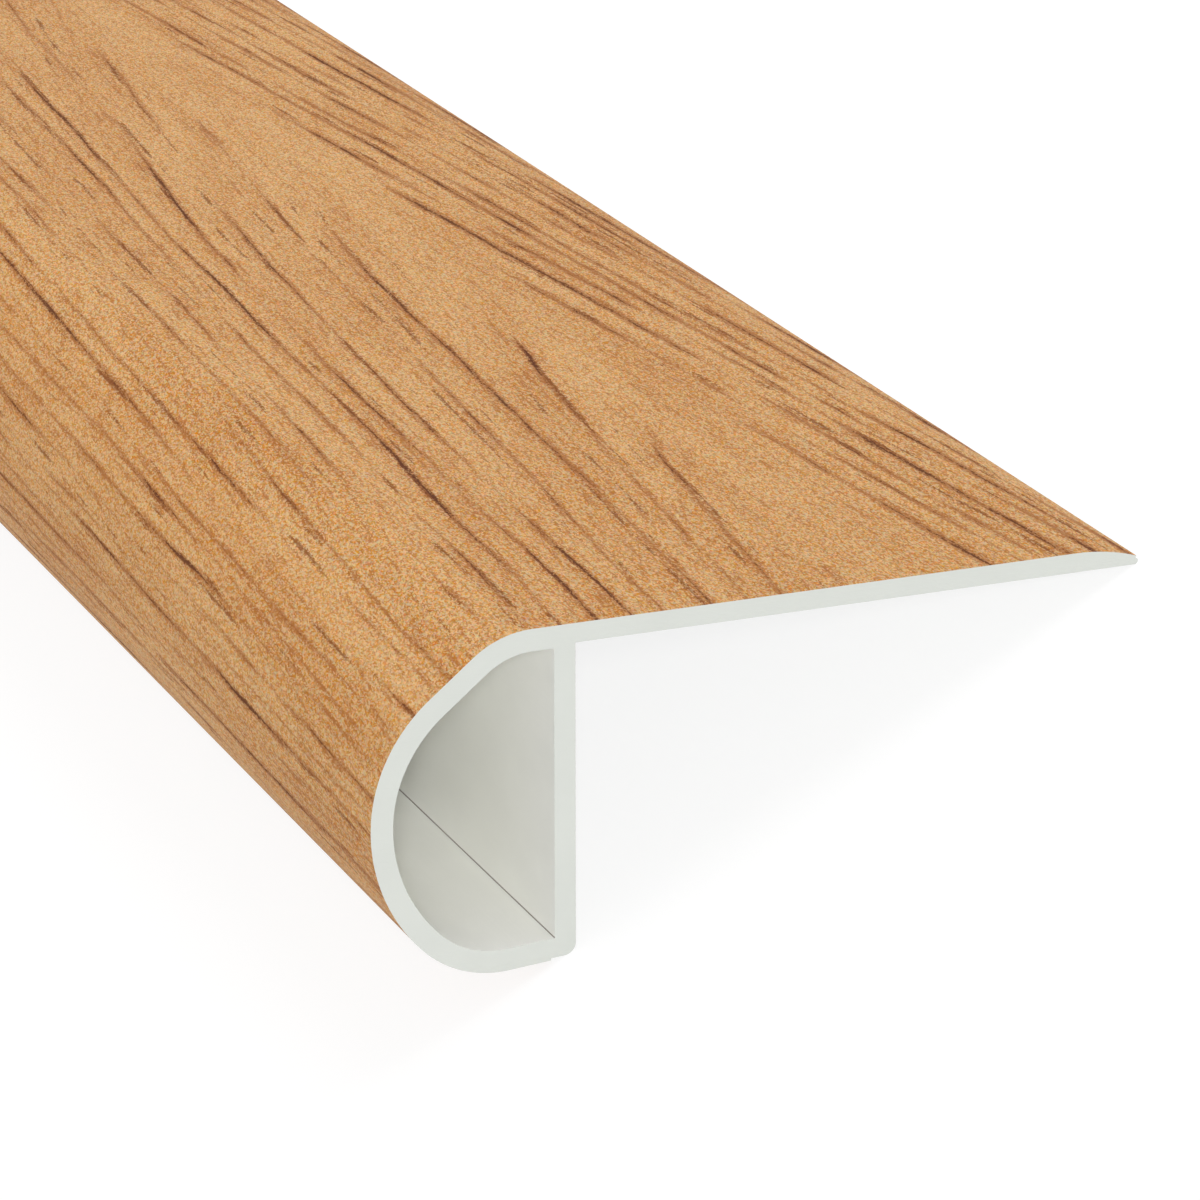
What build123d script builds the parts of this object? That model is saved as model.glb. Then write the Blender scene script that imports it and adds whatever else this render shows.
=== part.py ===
from build123d import *

import os
from math import asin, atan2, cos, degrees, hypot, radians, sin

# Low profile stair nosing: one length of extruded rigid vinyl with a printed wood-grain film wrapped
# over the side that shows. A thin flange laps over the flooring, a leg bears on the edge of the tread,
# and a hollow D-shaped nose stands in front of the leg.
#
# The section is drawn as it is installed: y runs back over the tread, z up, and the zero point is where
# the plane of the leg's back face crosses the flange's top. The finished piece is then laid on a floor,
# on its heel and on the tip of its flange, with its length along X.

# Driving dimensions, in millimetres and degrees

length = 2286.0  # stock length, 7 1/2 ft
overall_width = 57.15  # nose front to flange tip, 2 1/4 in, film included
nose_height = 24.15  # flange top to the lowest line of the nose
nose_depth = 14.65  # nose front to the leg's back face

flange_thickness = 1.25
nose_wall = 1.45
leg_thickness = 1.55
film_thickness = 0.15

shoulder_radius = 6.7  # rounds the flange's top over into the slope
slope_angle = 39.0  # the flat slope between shoulder and brow, below level
slope_length = 4.0
brow_radius = 11.4  # from the slope down to the foremost line of the nose
belly_depth = 9.2  # foremost line to lowest line, measured level
chin_turn = 45.0  # the turn at which the front arc hands over to the chin arc
sole_angle = 4.0  # the sole rises towards the leg
heel_radius = 0.9

taper_length = 4.6  # the flange's top rounds down over this length to its tip
tip_radius = 0.25
film_setback = 1.0  # bare sole between the film's lower edge and the heel


def sine(angle):
    return sin(radians(angle))


def cosine(angle):
    return cos(radians(angle))


# Sizes that follow from the driving ones

flange_reach = overall_width - nose_depth - film_thickness
brow_drop = (
    shoulder_radius * (1 - cosine(slope_angle))
    + slope_length * sine(slope_angle)
    + brow_radius * cosine(slope_angle)
)
shoulder_run = (
    shoulder_radius * sine(slope_angle)
    + slope_length * cosine(slope_angle)
    + brow_radius * (1 - sine(slope_angle))
)
shoulder_start = shoulder_run - nose_depth

# The front and chin arcs together drop by belly_drop and run back by belly_depth.
belly_drop = nose_height - brow_drop
chin_share = cosine(chin_turn) + sine(chin_turn) - 1
front_radius = (belly_drop * cosine(chin_turn) - belly_depth * (1 - sine(chin_turn))) / chin_share
chin_radius = (belly_depth * sine(chin_turn) - belly_drop * (1 - cosine(chin_turn))) / chin_share

# The taper arc is tangent to the flange's top and to the round of the tip.
tip_centre = Vector(flange_reach - tip_radius, tip_radius - flange_thickness)
tip_drop = -tip_centre.Y
taper_radius = (taper_length**2 + tip_drop**2 - tip_radius**2) / (2 * (tip_drop - tip_radius))
taper_angle = degrees(asin(taper_length / (taper_radius - tip_radius)))

heel_start = -heel_radius * (1 - sine(sole_angle))
film_end = heel_start - film_setback


def nose_edges(start, inset):
    """The nose's outline from a point on the flange's top round to the sole, moved inwards by inset."""
    top = Line(start, (shoulder_start, -inset))
    shoulder = JernArc(top @ 1, (-1, 0), shoulder_radius - inset, slope_angle)
    slope = Line(shoulder @ 1, shoulder @ 1 + slope_length * (shoulder % 1))
    brow = JernArc(slope @ 1, slope % 1, brow_radius - inset, 90 - slope_angle)
    front = JernArc(brow @ 1, brow % 1, front_radius - inset, chin_turn)
    chin = JernArc(front @ 1, front % 1, chin_radius - inset, 90 - chin_turn + sole_angle)
    return [top, shoulder, slope, brow, front, chin]


def sole_edge(chin, end):
    """The straight sole, from the end of the chin arc as far back as end."""
    run = (end - (chin @ 1).X) / cosine(sole_angle)
    return Line(chin @ 1, chin @ 1 + run * (chin % 1))


def shown_edges(outset, end):
    """The outline of the side that shows, from the tip to the sole, moved outwards by outset."""
    across = Vector(sine(taper_angle), cosine(taper_angle))
    along = Vector(-cosine(taper_angle), sine(taper_angle))
    taper = JernArc(tip_centre + (tip_radius + outset) * across, along, taper_radius + outset, taper_angle)
    nose = nose_edges(taper @ 1, -outset)
    return [taper, *nose, sole_edge(nose[-1], end + outset * sine(sole_angle))]


vinyl_edges = shown_edges(0, heel_start)
heel = JernArc(vinyl_edges[-1] @ 1, vinyl_edges[-1] % 1, heel_radius, 90 - sole_angle)
heel_centre = Vector(-heel_radius, (heel @ 1).Y)


def vinyl_section():
    """The extruded section: flange, leg and hollow nose."""
    leg_back = Line(heel @ 1, (0, -flange_thickness))
    underside = Line(leg_back @ 1, (tip_centre.X, -flange_thickness))
    tip = JernArc(underside @ 1, (1, 0), tip_radius, 180 - taper_angle)

    cavity = nose_edges((-leg_thickness, -nose_wall), nose_wall)
    cavity.append(sole_edge(cavity[-1], -leg_thickness))
    cavity.append(Line(cavity[-1] @ 1, cavity[0] @ 0))

    return make_face([*vinyl_edges, heel, leg_back, underside, tip]) - make_face(cavity)


def film_section():
    """The wrap film, from the flange's tip over the nose to the sole."""
    inside = shown_edges(0, film_end)
    outside = shown_edges(film_thickness, film_end)
    tip_end = Line(inside[0] @ 0, outside[0] @ 0)
    sole_end = Line(inside[-1] @ 1, outside[-1] @ 1)
    return make_face([*inside, *outside, tip_end, sole_end])


def resting_tilt():
    """How far the installed section leans back to stand on its heel and the tip of its flange."""
    apart = tip_centre - heel_centre
    return degrees(atan2(apart.Y, apart.X) + asin((heel_radius - tip_radius) / hypot(apart.X, apart.Y)))


def stock(section):
    """The section as a full length of stock, centred along X and leaning as it rests."""
    return Rot(X=-resting_tilt()) * extrude(Plane.YZ * section, length / 2, both=True)


vinyl_profile = stock(vinyl_section())
woodgrain_film = stock(film_section())

# The origin is on the floor, under the middle of the piece.
extent = Compound([vinyl_profile, woodgrain_film]).bounding_box()
to_floor = Pos(0, -extent.center().Y, -extent.min.Z)

os.makedirs("parts", exist_ok=True)
export_step(to_floor * vinyl_profile, "parts/vinyl_profile.step")
export_step(to_floor * woodgrain_film, "parts/woodgrain_film.step")

print(f"leans {resting_tilt():.3f} degrees, lies in a box of {extent.size}")
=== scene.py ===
from math import asin, atan2, ceil, cos, degrees, hypot, radians, sin

import bmesh
import bpy
import numpy as np
from mathutils import Matrix, Vector
from mathutils.geometry import tessellate_polygon


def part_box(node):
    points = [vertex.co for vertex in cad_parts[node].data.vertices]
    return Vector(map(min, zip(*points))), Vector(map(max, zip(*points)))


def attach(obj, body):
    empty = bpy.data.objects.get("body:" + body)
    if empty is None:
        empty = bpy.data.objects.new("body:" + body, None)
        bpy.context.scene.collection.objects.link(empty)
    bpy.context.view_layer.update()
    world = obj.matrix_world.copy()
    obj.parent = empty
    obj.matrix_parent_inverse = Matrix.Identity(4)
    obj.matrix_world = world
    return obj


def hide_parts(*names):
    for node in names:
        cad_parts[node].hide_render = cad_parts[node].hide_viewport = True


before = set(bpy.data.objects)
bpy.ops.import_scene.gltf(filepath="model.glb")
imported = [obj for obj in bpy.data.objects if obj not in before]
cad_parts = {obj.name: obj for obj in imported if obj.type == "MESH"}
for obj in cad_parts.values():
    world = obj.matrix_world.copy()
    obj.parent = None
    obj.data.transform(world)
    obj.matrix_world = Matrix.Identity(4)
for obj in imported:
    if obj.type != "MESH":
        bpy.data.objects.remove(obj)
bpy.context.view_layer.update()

# The section's sizes, in millimetres and degrees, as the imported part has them

MM = 0.001

overall_width = 57.15
nose_height = 24.15
nose_depth = 14.65
flange_thickness = 1.25
nose_wall = 1.45
leg_thickness = 1.55
film_thickness = 0.15
shoulder_radius = 6.7
slope_angle = 39.0
slope_length = 4.0
brow_radius = 11.4
belly_depth = 9.2
chin_turn = 45.0
sole_angle = 4.0
heel_radius = 0.9
taper_length = 4.6
tip_radius = 0.25
film_setback = 1.0

# How finely the meshes follow the section and the length

ARC_STEP = 2.0  # degrees
LENGTH_STEPS = 48
CREASE_WIDTH = 0.06  # of the painted shade along the hollow's inner corner, on each wall, in millimetres
WELD_DISTANCE = 1e-6  # metres
SHARP_ANGLE = 30.0  # degrees

# The order of the materials on each piece

VINYL, CUT, HOLLOW, CREASE = range(4)
PRINT, BARE = range(2)

# The parts of each piece's bake map, from its bottom edge to its top

BAKE_MARGIN = 0.003
OUTER_BAND = (0.0, 0.5)
HOLLOW_BAND = (0.5, 0.8)
CREASE_BAND = (0.8, 0.82)
CUT_BAND = (0.82, 1.0)
PRINT_BAND = (0.0, 0.92)
BACK_BAND = (0.92, 0.96)
FILM_EDGE_BANDS = ((0.96, 0.98), (0.98, 1.0))
CUT_HALVES = ((0.0, 0.5), (0.5, 1.0))  # of the near and the far end, from left to right

# The photograph's camera, in its own pixels, before the part is laid down on the floor

PHOTO_SIDE = 1200
FOCAL_PIXELS = 5698.4
SENSOR = 36.0  # millimetres
CLIP = (0.01, 100.0)  # metres
PITCH = 19.40  # degrees
YAW = 22.48
NEAR_CORNER_PIXEL = (575.5, 625.0)  # where the leg's back face meets the flange's top, on the cut end
NEAR_CORNER_DEPTH = 381.62  # millimetres


def sine(angle):
    return sin(radians(angle))


def cosine(angle):
    return cos(radians(angle))


# Sizes that follow from the section's own

flange_reach = overall_width - nose_depth - film_thickness
brow_drop = (
    shoulder_radius * (1 - cosine(slope_angle))
    + slope_length * sine(slope_angle)
    + brow_radius * cosine(slope_angle)
)
shoulder_start = (
    shoulder_radius * sine(slope_angle)
    + slope_length * cosine(slope_angle)
    + brow_radius * (1 - sine(slope_angle))
    - nose_depth
)
belly_drop = nose_height - brow_drop
chin_share = cosine(chin_turn) + sine(chin_turn) - 1
front_radius = (belly_drop * cosine(chin_turn) - belly_depth * (1 - sine(chin_turn))) / chin_share
chin_radius = (belly_depth * sine(chin_turn) - belly_drop * (1 - cosine(chin_turn))) / chin_share
tip_y = flange_reach - tip_radius
tip_z = tip_radius - flange_thickness
taper_radius = (taper_length**2 + tip_z**2 - tip_radius**2) / (2 * (-tip_z - tip_radius))
taper_angle = degrees(asin(taper_length / (taper_radius - tip_radius)))
heel_start = -heel_radius * (1 - sine(sole_angle))
film_end = heel_start - film_setback


class Pen:
    """Walks along an outline by straights and arcs and keeps the points it passes."""

    def __init__(self, start, heading):
        self.points = [np.array(start, float)]
        self.heading = heading

    def place(self):
        return self.points[-1]

    def line(self, run):
        self.points.append(self.place() + run * np.array([cosine(self.heading), sine(self.heading)]))
        return self

    def arc(self, radius, turn):
        start = self.heading
        centre = self.place() + radius * np.array([-sine(start), cosine(start)])
        steps = max(2, ceil(turn / ARC_STEP))
        for step in range(1, steps + 1):
            heading = start + turn * step / steps
            self.points.append(centre + radius * np.array([sine(heading), -cosine(heading)]))
        self.heading = start + turn
        return self

    def nose(self, inset):
        """From a point on the flange's top round to the end of the chin, moved inwards by inset."""
        self.line(self.place()[0] - shoulder_start)
        self.arc(shoulder_radius - inset, slope_angle)
        self.line(slope_length)
        self.arc(brow_radius - inset, 90 - slope_angle)
        self.arc(front_radius - inset, chin_turn)
        return self.arc(chin_radius - inset, 90 - chin_turn + sole_angle)

    def sole(self, end):
        return self.line((end - self.place()[0]) / cosine(sole_angle))


def shown_side(outset, end):
    """The outline of the side that shows, from the flange's tip to the sole, moved outwards by outset."""
    reach = tip_radius + outset
    pen = Pen((tip_y + reach * sine(taper_angle), tip_z + reach * cosine(taper_angle)), 180 - taper_angle)
    pen.arc(taper_radius + outset, taper_angle)
    return pen.nose(-outset).sole(end + outset * sine(sole_angle))


def vinyl_outline():
    """The extrusion's outer outline, closed."""
    pen = shown_side(0, heel_start)
    pen.arc(heel_radius, 90 - sole_angle)
    pen.line(-flange_thickness - pen.place()[1])
    pen.heading = 0
    pen.line(tip_y)
    pen.arc(tip_radius, 180 - taper_angle)
    return np.array(pen.points[:-1])


def cavity_outline():
    """The hollow of the nose, from the inner corner of sole and leg, up the leg and round."""
    pen = Pen((-leg_thickness, -nose_wall), 180).nose(nose_wall).sole(-leg_thickness)
    corner = pen.points.pop()
    pen.sole(corner[0] - CREASE_WIDTH)
    return np.array([corner, corner + (0, CREASE_WIDTH), *pen.points])


def resting_place():
    """The matrix that lays the installed section down on its heel and the tip of its flange."""
    sole = shown_side(0, heel_start)
    heel_z = sole.place()[1] + heel_radius * cosine(sole_angle)
    apart_y = tip_y + heel_radius
    apart_z = tip_z - heel_z
    lean = atan2(apart_z, apart_y) + asin((heel_radius - tip_radius) / hypot(apart_y, apart_z))
    turn = Matrix.Rotation(-lean, 4, "X")
    outlines = np.vstack([vinyl_outline(), shown_side(film_thickness, film_end).points])
    laid = np.array([turn @ Vector((0, y * MM, z * MM)) for y, z in outlines])
    middle = (laid[:, 1].min() + laid[:, 1].max()) / 2
    return Matrix.Translation((0, -middle, -laid[:, 2].min())) @ turn


near_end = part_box("vinyl_profile")[1].x
far_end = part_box("vinyl_profile")[0].x
to_rest = resting_place()


def walked(points):
    """How far along the outline each point is, in metres."""
    return np.concatenate([[0], np.cumsum(np.hypot(*np.diff(points, axis=0).T))]) * MM


def within(band, share):
    """Shares of a band of the bake's map, a margin in from its edges."""
    low, high = band
    return low + BAKE_MARGIN + (high - low - 2 * BAKE_MARGIN) * np.asarray(share)


class Extrusion:
    """Gathers the faces of a straight extrusion of the installed section, with a map of the surface in
    metres and one for baking, on which long walls are cut into strips that lie side by side."""

    def __init__(self):
        self.vertices = []
        self.faces = []
        self.maps = []
        self.bake = []
        self.materials = []
        self.stations = np.linspace(near_end, far_end, LENGTH_STEPS + 1)

    def wall(self, points, across, material, band, strips=1):
        """Sweeps a stretch of outline along the length. across is each point's place on the map of the
        surface."""
        first = len(self.vertices)
        count = len(points)
        share = walked(points) / walked(points)[-1]
        rows = LENGTH_STEPS // strips
        height = (band[1] - band[0]) / strips
        for x in self.stations:
            self.vertices += [(x, y * MM, z * MM) for y, z in points]
        for row in range(LENGTH_STEPS):
            along = near_end - self.stations[row : row + 2]
            low = band[0] + row // rows * height
            ends = within((0, 1), np.array([row % rows, row % rows + 1]) / rows)
            sides = within((low, low + height), share)
            for k in range(count - 1):
                a = first + row * count + k
                self.faces.append((a, a + count, a + count + 1, a + 1))
                corners = ((0, k), (1, k), (1, k + 1), (0, k + 1))
                self.maps += [(along[i], across[j]) for i, j in corners]
                self.bake += [(ends[i], sides[j]) for i, j in corners]
                self.materials.append(material)

    def caps(self, loops, material, bakes):
        """Closes both ends with the area between an outline and its holes. bakes holds, for each end,
        each point's place on the bake's map."""
        flat = [(y * MM, z * MM) for loop in loops for y, z in loop]
        triangles = tessellate_polygon([[Vector((y * MM, z * MM, 0)) for y, z in loop] for loop in loops])
        for x, facing, bake in ((near_end, 1, bakes[0]), (far_end, -1, bakes[1])):
            first = len(self.vertices)
            self.vertices += [(x, y, z) for y, z in flat]
            for triangle in triangles:
                (ya, za), (yb, zb), (yc, zc) = (flat[i] for i in triangle)
                turning = (yb - ya) * (zc - za) - (zb - za) * (yc - ya)
                corners = triangle if turning * facing > 0 else triangle[::-1]
                self.faces.append(tuple(first + i for i in corners))
                self.maps += [flat[i] for i in corners]
                self.bake += [bake[i] for i in corners]
                self.materials.append(material)

    def piece(self, name, materials):
        """The gathered faces as one closed piece, laid down where the part lies."""
        mesh = bpy.data.meshes.new(name)
        mesh.from_pydata(self.vertices, [], self.faces)
        mesh.transform(to_rest)
        for map_name, places in (("surface", self.maps), ("OFBake", self.bake)):
            layer = mesh.uv_layers.new(name=map_name)
            layer.data.foreach_set("uv", np.array(places, np.float32).ravel())
        for material in materials:
            mesh.materials.append(material)
        mesh.polygons.foreach_set("material_index", self.materials)
        mesh.update()
        weld(mesh)
        mesh.shade_smooth()
        mesh.set_sharp_from_angle(angle=radians(SHARP_ANGLE))
        made = bpy.data.objects.new(name, mesh)
        bpy.context.scene.collection.objects.link(made)
        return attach(made, "root")


def weld(mesh):
    """Joins the vertices of neighbouring walls and caps, so that the mesh is closed."""
    work = bmesh.new()
    work.from_mesh(mesh)
    bmesh.ops.remove_doubles(work, verts=work.verts, dist=WELD_DISTANCE)
    bmesh.ops.recalc_face_normals(work, faces=work.faces)
    work.to_mesh(mesh)
    work.free()


class Nodes:
    """Short names for the shader nodes that the materials use."""

    def __init__(self, name):
        self.material = bpy.data.materials.new(name)
        self.material.use_nodes = True
        self.tree = self.material.node_tree
        self.shader = self.tree.nodes["Principled BSDF"]
        self.output = self.tree.nodes["Material Output"]

    def add(self, kind, **settings):
        node = self.tree.nodes.new(kind)
        for key, value in settings.items():
            setattr(node, key, value)
        return node

    def put(self, value, socket):
        if isinstance(value, bpy.types.NodeSocket):
            self.tree.links.new(value, socket)
        else:
            socket.default_value = value

    def math(self, operation, *values):
        node = self.add("ShaderNodeMath", operation=operation)
        for value, socket in zip(values, node.inputs):
            self.put(value, socket)
        return node.outputs[0]

    def plus(self, first, second):
        return self.math("ADD", first, second)

    def minus(self, first, second):
        return self.math("SUBTRACT", first, second)

    def times(self, first, second):
        return self.math("MULTIPLY", first, second)

    def over(self, first, second):
        return self.math("DIVIDE", first, second)

    def about(self, value, reach):
        """How far a value is from a half, times reach."""
        return self.times(self.minus(value, 0.5), reach)

    def vector(self, x, y, z=0.0):
        node = self.add("ShaderNodeCombineXYZ")
        for value, socket in zip((x, y, z), node.inputs):
            self.put(value, socket)
        return node.outputs[0]

    def place(self, along, across, size, seed=0.0):
        """A place in a noise whose forms are about as large as size, along and across."""
        return self.vector(self.over(along, size[0]), self.over(across, size[1]), seed)

    def noise(self, place, detail=0.0, roughness=0.5, output="Fac", dimensions="3D"):
        node = self.add("ShaderNodeTexNoise", noise_dimensions=dimensions)
        self.put(place, node.inputs["Vector"])
        node.inputs["Scale"].default_value = 1.0
        node.inputs["Detail"].default_value = detail
        node.inputs["Roughness"].default_value = roughness
        return node.outputs[output]

    def specks(self, soft_place, cell_place, cell_share):
        """Three unlike random values: soft noise, with small cells of one value each mixed in."""
        soft = self.noise(soft_place, detail=3.0, roughness=0.7, output="Color", dimensions="2D")
        cells = self.add("ShaderNodeTexVoronoi", voronoi_dimensions="2D")
        self.put(cell_place, cells.inputs["Vector"])
        cells.inputs["Scale"].default_value = 1.0
        split = self.add("ShaderNodeSeparateColor")
        self.tree.links.new(self.mix(cell_share, soft, cells.outputs["Color"]), split.inputs[0])
        return tuple(split.outputs)

    def span(self, value, low, high, to_low=0.0, to_high=1.0, smooth=True):
        kind = "SMOOTHSTEP" if smooth else "LINEAR"
        node = self.add("ShaderNodeMapRange", interpolation_type=kind)
        for item, socket in zip((value, low, high, to_low, to_high), node.inputs):
            self.put(item, socket)
        return node.outputs[0]

    def mix(self, share, first, second):
        node = self.add("ShaderNodeMix", data_type="RGBA")
        sockets = {socket.identifier: socket for socket in node.inputs}
        self.put(share, sockets["Factor_Float"])
        self.put(first, sockets["A_Color"])
        self.put(second, sockets["B_Color"])
        return next(socket for socket in node.outputs if socket.identifier == "Result_Color")

    def stray(self, colour, value, difference):
        """Moves a colour by a difference times how far a value is from a half."""
        node = self.add("ShaderNodeVectorMath", operation="MULTIPLY_ADD")
        self.put(self.minus(value, 0.5), node.inputs[0])
        self.put(difference, node.inputs[1])
        self.put(colour, node.inputs[2])
        return node.outputs[0]

    def surface_map(self):
        """The map of the surface, in millimetres: along the length, and across the section."""
        node = self.add("ShaderNodeUVMap", uv_map="surface")
        split = self.add("ShaderNodeSeparateXYZ")
        self.tree.links.new(node.outputs[0], split.inputs[0])
        return self.over(split.outputs[0], MM), self.over(split.outputs[1], MM)

    def complete(self, colour, roughness, specular, relief):
        """Gives the material its colour, its gloss and its slight relief."""
        bump = self.add("ShaderNodeBump")
        bump.inputs["Strength"].default_value = 1.0
        bump.inputs["Distance"].default_value = RELIEF
        self.put(relief, bump.inputs["Height"])
        self.put(bump.outputs[0], self.shader.inputs["Normal"])
        self.put(colour, self.shader.inputs["Base Color"])
        self.put(roughness, self.shader.inputs["Roughness"])
        self.put(specular, self.shader.inputs["Specular IOR Level"])
        return self.material


def linear(red, green, blue):
    """A display colour, 0 to 255, as the shaders take it: the sRGB curve undone."""
    shares = [c / 255 for c in (red, green, blue)]
    return [c / 12.92 if c <= 0.04045 else ((c + 0.055) / 1.055) ** 2.4 for c in shares] + [1.0]


def spread(middle, red, green, blue):
    """A difference of display colours, about a middle one, as the shaders take it."""
    changes = list(zip(middle, (red, green, blue)))
    above = linear(*(c + change / 2 for c, change in changes))
    below = linear(*(c - change / 2 for c, change in changes))
    return [a - b for a, b in zip(above[:3], below[:3])]


# The colours of the print, and how they stray from speck to speck

TAN = (204, 155, 105)
DARKER_GROUND = linear(205, 153, 98)
PALER_GROUND = linear(213, 164, 109)
HAZE_COLOUR = linear(186, 125, 66)
FLECK_COLOUR = linear(170, 104, 50)
BODY_COLOUR = linear(166, 104, 54)
BESIDE_COLOUR = linear(128, 72, 40)
CORE_COLOUR = linear(94, 54, 38)
SHADE_SPREAD = spread(TAN, 70, 158, 204)
WARMTH_SPREAD = spread(TAN, 70, 8, -62)
GREENNESS_SPREAD = spread(TAN, -20, 34, -18)
SHADE_LIMITS = (0.36, 0.68)

# How much of its own colour each thing lays over the ones below it

HAZE_SHARE = 0.40
FLECK_SHARE = 0.58
BODY_SHARE = 0.70
BESIDE_SHARE = 0.75
CORE_SHARE = 0.88

# Which of the endless possible prints this is

MAIN_SEED = 21.84
BESIDE_SEED = 7.9
PATCH_SEED = 2.2
FLECK_SEED = 5.0
FIBRE_SEED = 12.0
WAVER_SEED = 8.1
SWAY_SEED = 3.7
BOLD_SEED = 18.4

# The arches of the grain. Lengths are in millimetres on the film's surface, and so are sizes, which are
# along and across it.

SWAY_LENGTH = 330.0  # over about this length the middle of the arches sways
SWAY_LEVELS = (0.2, 0.8)
MIDDLE = (20.0, 28.0)  # between these places across the film
WAVER_SIZE = (38.0, 14.0)  # of the slight bends that all lines share
WAVER_REACH = 0.6
TIP_HALF_WIDTH = 2.0  # of the arches' round tips
TIP_FADE = (2.4, 5.0)  # lines come in between these distances from the middle, tips rounded
TIP_LOSS = 0.5
RUN = 0.06  # how fast the depth grows along the length
ARCH_RISE = 0.312  # and away from the middle
ARCH_POWER = 1.3
ARCH_STEEPNESS = 0.41  # about ARCH_RISE times ARCH_POWER
LEAN = 0.25  # faster by this behind the middle, and slower in front of it
NOSE_START = -6.0  # and faster again round the nose, from this place on
NOSE_RISE = 0.013
BOLD_LENGTH = 75.0  # of bold and of faint stretches
BOLD_LEVELS = (0.3, 0.7)
BOLD_REACH = 0.02
CLOSE_LOSS = 0.08  # lines are fainter the closer together they lie
MOST_CLOSE_LOSS = 0.015
REAR_GAIN = 0.03  # and bolder behind the middle

# Fibres and speckle. Where a pair is for the two sides, the first is in front of the arches' middle.

FIBRE_SLOPES = (-0.105, 0.055)  # for the two sides
FIBRE_SIZE = (5.0, 0.22)
FRAYS = (0.45, 0.70)  # how far fibres fray the edges of lines, for the two sides
SOFT_SPECK_SIZE = (1 / 1.6, 1 / 3.8)
SPECK_CELL_SIZE = (1 / 5.0, 1 / 9.6)
SPECK_CELL_SHARE = 0.42
GRIT = 0.42  # how far specks roughen the edges of lines
NOSE_CALM = 0.76  # the share of the speckle that is left round the nose
NOSE_CALM_REACH = 8.0

# The dark lines, the haze and flecks beside them, and the paler and darker patches below

LANE_STEP = 3.71  # takes a lane to noise of its own
REAR_STEP = 57.3
SWING_STEP = 0.5
STRETCH_STEP = 20.5
WOBBLE_STEP = 40.5
SWING_LEVELS = (0.25, 0.75)
SWING = (0.2, 0.8)  # a line swings between these shares of its lane
WOBBLE_LENGTH = 7.0
WOBBLE_REACH = 0.12
NO_LINE = -0.30  # the half width that stands for no line, below zero because edges are ragged
LINE_LENGTHS = (34.0, 19.0)  # for the two sides
BODY_WIDTHS = (0.28, 0.40)  # for the two sides
HAZE_PRESENCE = (0.36, 0.60)  # haze comes in with lines as present as this
HAZE_ONSET = (-0.22, 0.02)  # sets in between these places, in lanes past a line
HAZE_FADE = (0.0, 0.60)  # and fades between these
HAZE_FADE_POWER = 1.5
HAZE_LIFT = 0.12
PATCH_SIZE = (34.0, 4.0)
PATCH_LEVELS = (0.32, 0.66)
FLECK_SIZE = (5.5, 0.42)
FLECK_LEVELS = (0.52, 0.72)
FLECK_LOSS_IN_PATCHES = 0.20
FLECK_LOSS_IN_SPECKS = 0.40

# Gloss and relief

FILM_ROUGHNESS = (0.58, 0.78)  # beside the pores and in them
BESIDE_PORES = 0.7  # how much of a pore a thin line is
FILM_SPECULAR = 0.06
VINYL_ROUGHNESS = (0.50, 0.62)
VINYL_SPECULAR = 0.30
CUT_ROUGHNESS = (0.60, 0.72)
CUT_SPECULAR = 0.25
RELIEF = 0.00001  # metres

# The vinyl's mottling, die lines and blade marks

CLOUD_SIZE = (7.0, 5.0)
CLOUD_SEED = 4.0
CLOUD_LEVELS = (0.3, 0.7)
DIE_LINE_SIZE = (60.0, 0.25)
DIE_LINE_SEED = 1.0
CUT_CLOUD_SIZE = (4.0, 4.0)
CUT_CLOUD_SEED = 9.0
BLADE_MARK_SIZE = (0.9, 0.12)
BLADE_MARK_SEED = 5.0


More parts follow.
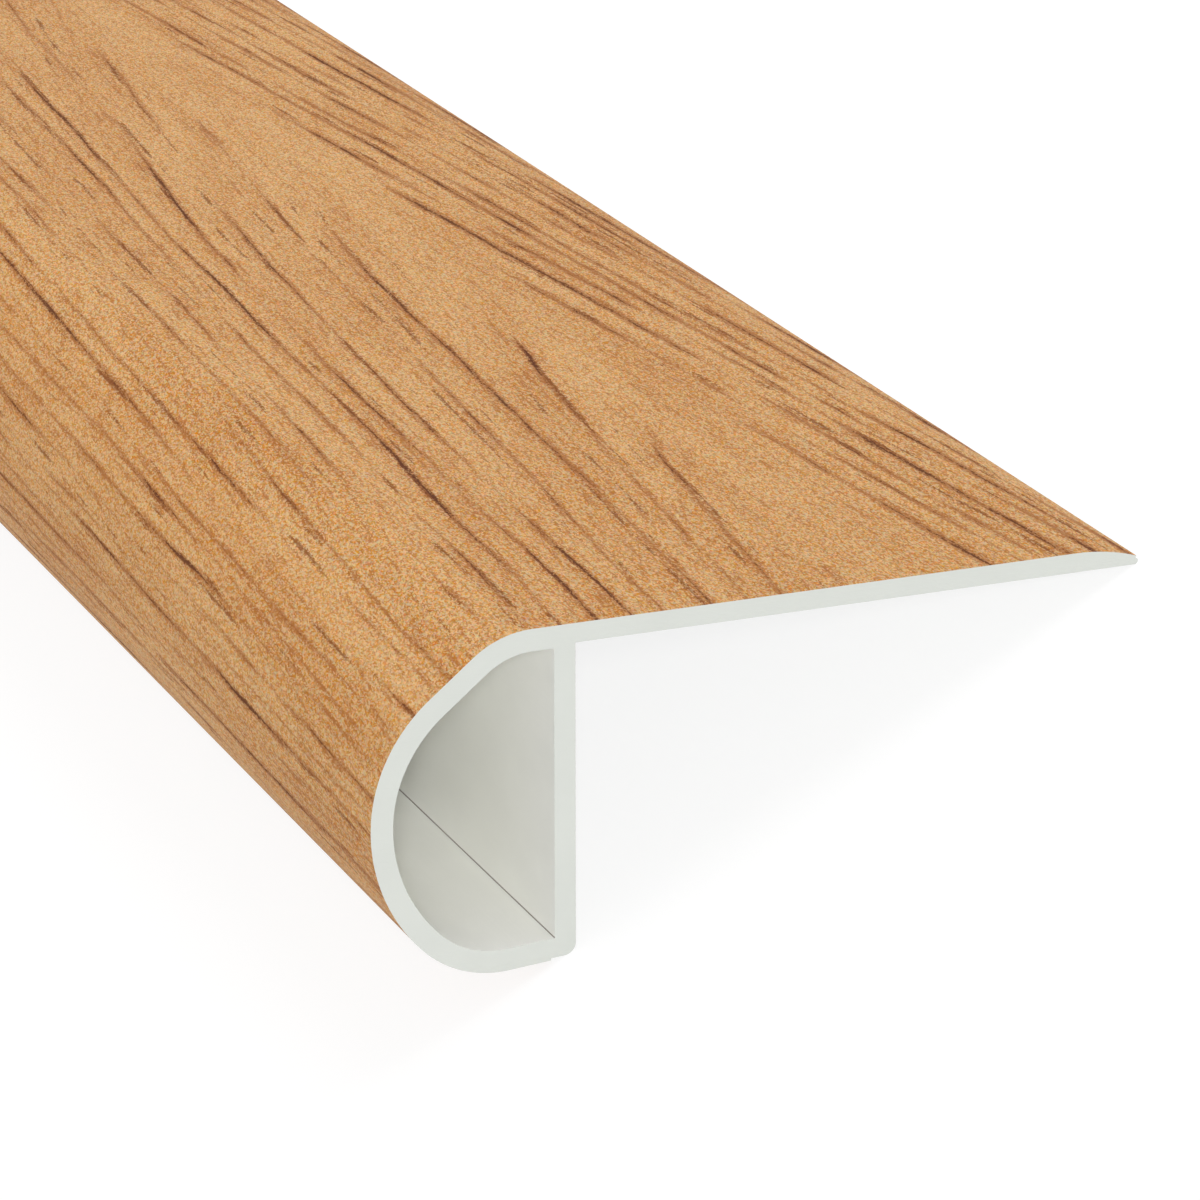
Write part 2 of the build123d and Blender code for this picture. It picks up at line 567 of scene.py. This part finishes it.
class Grain:
    """The print's own coordinates, and dark lines drawn in lanes along them."""

    def __init__(self, nodes):
        self.n = nodes
        self.along, self.across = nodes.surface_map()
        self.lay_arches()
        self.lay_boldness()
        self.lay_fibres()
        self.lay_speckle()

    def by_side(self, pair):
        """The first of a pair in front of the arches' middle, and the second behind it."""
        return self.n.span(self.rear, 0.0, 1.0, *pair, smooth=False)

    def lay_arches(self):
        """Lines of equal depth are nested arches that close in on the middle along the length. They lean
        less on the rear side, and still less round the nose."""
        n = self.n
        sway = n.noise(n.vector(n.over(self.along, SWAY_LENGTH), SWAY_SEED))
        middle = n.span(sway, *SWAY_LEVELS, *MIDDLE, smooth=False)
        waver = n.noise(n.place(self.along, self.across, WAVER_SIZE, WAVER_SEED), detail=1.0)
        bent = n.plus(self.across, n.span(waver, 0.0, 1.0, -WAVER_REACH, WAVER_REACH, smooth=False))
        self.off = n.minus(bent, middle)
        self.rear = n.math("GREATER_THAN", self.off, 0.0)
        self.apart = n.math("SQRT", n.plus(n.times(self.off, self.off), TIP_HALF_WIDTH**2))
        self.round_nose = n.math("MAXIMUM", n.minus(NOSE_START, self.across), 0.0)

        rise = n.times(n.math("POWER", self.apart, ARCH_POWER), ARCH_RISE)
        rise = n.plus(rise, n.times(self.off, LEAN))
        rise = n.plus(rise, n.times(n.times(self.round_nose, self.round_nose), NOSE_RISE))
        self.depth = n.plus(n.times(self.along, RUN), rise)

        steepness = n.times(n.math("POWER", self.apart, ARCH_POWER - 1), ARCH_STEEPNESS)
        steeper = n.plus(self.by_side((-LEAN, LEAN)), n.times(self.round_nose, 2 * NOSE_RISE))
        self.steepness = n.plus(steepness, steeper)

    def lay_boldness(self):
        """The print is bold in some stretches and faint in others, at the tips of the arches and where the
        arches lie close together."""
        n = self.n
        bold = n.noise(n.vector(n.over(self.along, BOLD_LENGTH), BOLD_SEED))
        bold = n.span(bold, *BOLD_LEVELS, BOLD_REACH, -BOLD_REACH, smooth=False)
        tips = n.span(self.apart, *TIP_FADE, TIP_LOSS, 0.0)
        close = n.math("MINIMUM", n.times(n.minus(self.steepness, 1.0), CLOSE_LOSS), MOST_CLOSE_LOSS)
        bold = n.minus(n.minus(bold, tips), close)
        self.bold = n.plus(bold, n.times(self.rear, REAR_GAIN))

    def lay_fibres(self):
        """Straight fibres lean towards the middle from both sides."""
        n = self.n
        self.cross = n.plus(self.off, n.times(self.along, self.by_side(FIBRE_SLOPES)))
        fibre_place = n.place(self.along, self.cross, FIBRE_SIZE, FIBRE_SEED)
        self.fibre = n.noise(fibre_place, detail=2.0, roughness=0.6)

    def lay_speckle(self):
        """Fine speckle, in shade, in warmth and in greenness, and the rough edges that lines have."""
        n = self.n
        soft_place = n.place(self.along, self.across, SOFT_SPECK_SIZE)
        cell_place = n.place(self.along, self.across, SPECK_CELL_SIZE)
        calm = n.span(self.round_nose, 0.0, NOSE_CALM_REACH, 1.0, NOSE_CALM)
        specks = n.specks(soft_place, cell_place, SPECK_CELL_SHARE)
        self.speckle, self.warmth, self.greenness = (n.plus(n.about(value, calm), 0.5) for value in specks)
        self.ragged = n.plus(n.about(self.speckle, GRIT), n.about(self.fibre, self.by_side(FRAYS)))

    def line(self, seed, pitch, length, wander, lift=0.0):
        """One line to a lane: how far a place is from it, in millimetres, how far past it, in lanes,
        and how present the line is there."""
        n = self.n
        lane_place = n.plus(n.over(self.depth, pitch), seed)
        row = n.plus(n.times(n.math("FLOOR", lane_place), LANE_STEP), n.times(self.rear, REAR_STEP))
        swing = n.noise(n.vector(n.over(self.along, wander), row, seed + SWING_STEP))
        wobble = n.noise(n.vector(n.over(self.along, WOBBLE_LENGTH), row, seed + WOBBLE_STEP))
        line_place = n.span(swing, *SWING_LEVELS, *SWING, smooth=False)
        line_place = n.plus(line_place, n.about(wobble, WOBBLE_REACH))
        stretches = n.noise(n.vector(n.over(self.along, length), row, seed + STRETCH_STEP), detail=3.0)
        present = n.plus(n.plus(stretches, lift), self.bold)
        past = n.minus(n.math("FRACT", lane_place), line_place)
        gap = n.over(n.times(n.math("ABSOLUTE", past), pitch), self.steepness)
        return gap, past, present

    def ink(self, gap, present, starts, full, width, edge):
        """The line drawn by stretches, thin at both ends of a stretch, width on each side at its fullest."""
        n = self.n
        half = n.span(present, starts, full, NO_LINE, width, smooth=False)
        return n.span(n.minus(half, n.plus(gap, self.ragged)), -edge, edge)


def wood_print():
    """Printed oak-like grain: nested arches of dark pores, with tan haze beside them, and fine speckle."""
    n = Nodes("wood_print")
    g = Grain(n)
    patches = n.noise(n.place(g.along, g.cross, PATCH_SIZE, PATCH_SEED), detail=2.0)
    gap, past, present = g.line(MAIN_SEED, pitch=1.95, length=g.by_side(LINE_LENGTHS), wander=90.0)
    core = g.ink(gap, present, starts=0.37, full=0.66, width=0.13, edge=0.09)
    body = g.ink(gap, present, starts=0.29, full=0.58, width=g.by_side(BODY_WIDTHS), edge=0.22)

    # The haze beside a main line is wider on the side away from the middle.
    beyond = n.minus(1.0, n.span(past, *HAZE_FADE, smooth=False))
    haze = n.times(n.math("POWER", beyond, HAZE_FADE_POWER), n.span(past, *HAZE_ONSET))
    haze = n.times(haze, n.span(present, *HAZE_PRESENCE))
    lift = n.times(haze, HAZE_LIFT)
    beside_gap, _, beside_present = g.line(BESIDE_SEED, pitch=0.85, length=12.0, wander=60.0, lift=lift)
    beside = g.ink(beside_gap, beside_present, starts=0.50, full=0.70, width=0.15, edge=0.14)

    # Short brown flecks, thicker in the haze, and thinner in pale patches and specks
    flecks = n.noise(n.place(g.along, g.cross, FLECK_SIZE, FLECK_SEED), detail=2.0, roughness=0.6)
    flecks = n.minus(n.plus(flecks, lift), n.about(patches, FLECK_LOSS_IN_PATCHES))
    flecks = n.span(n.minus(flecks, n.about(g.speckle, FLECK_LOSS_IN_SPECKS)), *FLECK_LEVELS)

    colour = n.mix(n.span(patches, *PATCH_LEVELS), DARKER_GROUND, PALER_GROUND)
    colour = n.mix(n.times(haze, HAZE_SHARE), colour, HAZE_COLOUR)
    shade = n.span(g.speckle, *SHADE_LIMITS, *SHADE_LIMITS, smooth=False)
    colour = n.stray(colour, shade, SHADE_SPREAD)
    colour = n.stray(colour, g.warmth, WARMTH_SPREAD)
    colour = n.stray(colour, g.greenness, GREENNESS_SPREAD)
    colour = n.mix(n.times(flecks, FLECK_SHARE), colour, FLECK_COLOUR)
    colour = n.mix(n.times(body, BODY_SHARE), colour, BODY_COLOUR)
    colour = n.mix(n.times(beside, BESIDE_SHARE), colour, BESIDE_COLOUR)
    colour = n.mix(n.times(core, CORE_SHARE), colour, CORE_COLOUR)

    pores = n.math("MAXIMUM", core, n.times(beside, BESIDE_PORES))
    relief = n.noise(n.place(g.along, g.across, FIBRE_SIZE), detail=1.0)
    return n.complete(colour, n.span(pores, 0.0, 1.0, *FILM_ROUGHNESS), FILM_SPECULAR, relief)


def rigid_vinyl(name, darker, paler):
    """Extruded vinyl, with faint mottling and fine die lines: pale grey for the part, and also the lighter
    copy with painted light in the hollow and the dark strip of painted shade in its corner.
    """
    n = Nodes(name)
    along, across = n.surface_map()
    clouds = n.noise(n.place(along, across, CLOUD_SIZE, CLOUD_SEED), detail=3.0)
    colour = n.mix(n.span(clouds, *CLOUD_LEVELS), darker, paler)
    relief = n.noise(n.place(along, across, DIE_LINE_SIZE, DIE_LINE_SEED), detail=2.0)
    return n.complete(colour, n.span(clouds, 0.0, 1.0, *VINYL_ROUGHNESS), VINYL_SPECULAR, relief)


def cut_vinyl(darker, paler):
    """The sawn ends: the same vinyl, with the faint marks of the blade."""
    n = Nodes("cut_vinyl")
    across, up = n.surface_map()
    clouds = n.noise(n.place(across, up, CUT_CLOUD_SIZE, CUT_CLOUD_SEED), detail=2.0)
    colour = n.mix(n.span(clouds, *CLOUD_LEVELS), darker, paler)
    marks = n.noise(n.place(across, up, BLADE_MARK_SIZE, BLADE_MARK_SEED), detail=2.0)
    return n.complete(colour, n.span(marks, 0.0, 1.0, *CUT_ROUGHNESS), CUT_SPECULAR, marks)


vinyl = rigid_vinyl("rigid_vinyl", linear(217, 220, 214), linear(222, 225, 219))
# The hollow's walls: the same vinyl painted much lighter than outside, painted light that offsets the shade
# deep in the hollow
hollow_vinyl_painted_light = rigid_vinyl("hollow_vinyl_painted_light", linear(244, 244, 240), linear(247, 247, 243))
# The hollow's inner corner: a thin dark strip of painted shade along the crease
crease_painted_shade = rigid_vinyl("crease_painted_shade", linear(160, 153, 147), linear(172, 166, 161))
cut = cut_vinyl(linear(212, 215, 209), linear(214, 217, 211))
wood = wood_print()

# The extrusion
outer = vinyl_outline()
cavity = cavity_outline()
extrusion = Extrusion()
ring = np.vstack([outer, outer[:1]])
extrusion.wall(ring, walked(ring), VINYL, OUTER_BAND, strips=2)
# The hollow's walls, which take the lighter vinyl with painted light
hollow = cavity[1:]
extrusion.wall(hollow, walked(hollow), HOLLOW, HOLLOW_BAND, strips=2)
# A narrow strip on each side of the hollow's inner corner, which takes the painted shade
crease = np.vstack([cavity[-1], cavity[0], cavity[1]])
extrusion.wall(crease, walked(crease), CREASE, CREASE_BAND)
section = np.vstack([outer, cavity])
share_y, share_z = ((section - section.min(axis=0)) / np.ptp(section, axis=0)).T
cut_sides = within(CUT_BAND, share_z)
cut_bakes = [np.column_stack([within(half, share_y), cut_sides]) for half in CUT_HALVES]
extrusion.caps([outer, cavity], CUT, cut_bakes)
vinyl_piece = extrusion.piece("vinyl_profile_finish", [vinyl, cut, hollow_vinyl_painted_light, crease_painted_shade])
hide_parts("vinyl_profile")

# The film, whose print has its places measured as the section's own on the flange's flat top
outside = np.array(shown_side(film_thickness, film_end).points)
inside = np.array(shown_side(0, film_end).points)
from_tip = walked(outside)
flat_start = int(np.argmin(np.abs(outside[:, 0] - (tip_y - taper_length))))
across_film = outside[flat_start, 0] * MM - (from_tip - from_tip[flat_start])
film = Extrusion()
film.wall(outside, across_film, PRINT, PRINT_BAND, strips=4)
back = np.vstack([outside[-1:], inside[::-1], outside[:1]])
film.wall(back, walked(back), BARE, BACK_BAND)
edge_ends = within((0, 1), np.concatenate([from_tip, from_tip[::-1]]) / from_tip[-1])
edge_sides = np.repeat([0, 1], len(outside))
edge_bakes = [np.column_stack([edge_ends, within(band, edge_sides)]) for band in FILM_EDGE_BANDS]
film.caps([np.vstack([outside, inside[::-1]])], BARE, edge_bakes)
film_piece = film.piece("woodgrain_film_print", [wood, cut])
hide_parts("woodgrain_film")

# Floor and light

FLOOR_SIDE = 30.0  # metres
FLOOR_GREY = 0.75  # as it lights the part
FLOOR_SHADOW_GREY = 0.22  # as the camera sees it: grey enough to take a faint shadow
FLOOR_GLOW = 0.82  # and bright enough to be white beside it
SKY_LIGHT = 0.43  # as it lights the part
SKY_SEEN = 1.0  # as the camera sees it
DIFFUSE_BOUNCES = 12  # enough for light to find its way round the hollow


def grey(value):
    return (value, value, value, 1.0)


def seen_directly(tree):
    """1 where the camera sees a thing itself, in a reflection or through glass, and 0 where the thing
    only gives light."""
    ways = tree.nodes.new("ShaderNodeLightPath").outputs
    seen = ways["Is Camera Ray"]
    for way in ("Is Glossy Ray", "Is Transmission Ray"):
        either = tree.nodes.new("ShaderNodeMath")
        either.operation = "MAXIMUM"
        tree.links.new(seen, either.inputs[0])
        tree.links.new(ways[way], either.inputs[1])
        seen = either.outputs[0]
    return seen


def floor_material():
    """White to the camera, with the object's shadow left faint on it."""
    n = Nodes("pale_floor")
    seen = seen_directly(n.tree)
    plain = n.add("ShaderNodeBsdfDiffuse")
    plain.inputs["Color"].default_value = grey(FLOOR_GREY)
    dim = n.add("ShaderNodeBsdfDiffuse")
    dim.inputs["Color"].default_value = grey(FLOOR_SHADOW_GREY)
    glow = n.add("ShaderNodeEmission")
    glow.inputs["Strength"].default_value = FLOOR_GLOW
    both = n.add("ShaderNodeAddShader")
    n.tree.links.new(dim.outputs[0], both.inputs[0])
    n.tree.links.new(glow.outputs[0], both.inputs[1])
    choose = n.add("ShaderNodeMixShader")
    n.tree.links.new(seen, choose.inputs[0])
    n.tree.links.new(plain.outputs[0], choose.inputs[1])
    n.tree.links.new(both.outputs[0], choose.inputs[2])
    n.tree.links.new(choose.outputs[0], n.output.inputs["Surface"])
    return n.material


reach = FLOOR_SIDE / 2
floor_corners = [(-reach, -reach, 0), (reach, -reach, 0), (reach, reach, 0), (-reach, reach, 0)]
floor_mesh = bpy.data.meshes.new("floor")
floor_mesh.from_pydata(floor_corners, [], [(0, 1, 2, 3)])
floor_mesh.materials.append(floor_material())
floor = bpy.data.objects.new("floor", floor_mesh)
bpy.context.scene.collection.objects.link(floor)

# Soft even studio light
world = bpy.data.worlds.new("studio")
bpy.context.scene.world = world
world.use_nodes = True
sky = world.node_tree.nodes["Background"]
brightness = world.node_tree.nodes.new("ShaderNodeMapRange")
brightness.inputs["To Min"].default_value = SKY_LIGHT
brightness.inputs["To Max"].default_value = SKY_SEEN
world.node_tree.links.new(seen_directly(world.node_tree), brightness.inputs["Value"])
world.node_tree.links.new(brightness.outputs[0], sky.inputs["Strength"])
sky.inputs["Color"].default_value = grey(1.0)


def lamp(name, source, angle, strength):
    """Light that is the same all along the part, from the direction of source, as wide as angle."""
    data = bpy.data.lights.new(name, "SUN")
    data.angle = radians(angle)
    data.energy = strength
    made = bpy.data.objects.new(name, data)
    made.rotation_euler = (-source).to_track_quat("-Z", "Y").to_euler()
    bpy.context.scene.collection.objects.link(made)


lamp("key", source=Vector((-0.2, 1.4, 1.8)), angle=38.0, strength=0.93)
lamp("fill", source=Vector((-0.5, -1.6, 1.1)), angle=40.0, strength=0.40)
lamp("front", source=to_rest.to_3x3() @ Vector((2.70, -0.98, 1.08)), angle=7.0, strength=1.72)

# The camera, as the photograph has it, carried along with the part as it lies
right = Vector((sine(YAW), cosine(YAW), 0))
forward = Vector((-cosine(YAW) * cosine(PITCH), sine(YAW) * cosine(PITCH), -sine(PITCH)))
down = forward.cross(right)
offset = [(pixel - PHOTO_SIDE / 2) / FOCAL_PIXELS for pixel in NEAR_CORNER_PIXEL]
sight = (offset[0] * right + offset[1] * down + forward) * NEAR_CORNER_DEPTH * MM
axes = Matrix((right, -down, -forward)).transposed().to_4x4()
axes.translation = Vector((near_end, 0, 0)) - sight
camera_data = bpy.data.cameras.new("camera")
camera_data.sensor_width = SENSOR
camera_data.lens = SENSOR * FOCAL_PIXELS / PHOTO_SIDE
camera_data.clip_start, camera_data.clip_end = CLIP
camera = bpy.data.objects.new("camera", camera_data)
camera.matrix_world = to_rest @ axes
bpy.context.scene.collection.objects.link(camera)
bpy.context.scene.camera = camera

bpy.context.scene.view_settings.view_transform = "Standard"
bpy.context.scene.cycles.diffuse_bounces = DIFFUSE_BOUNCES
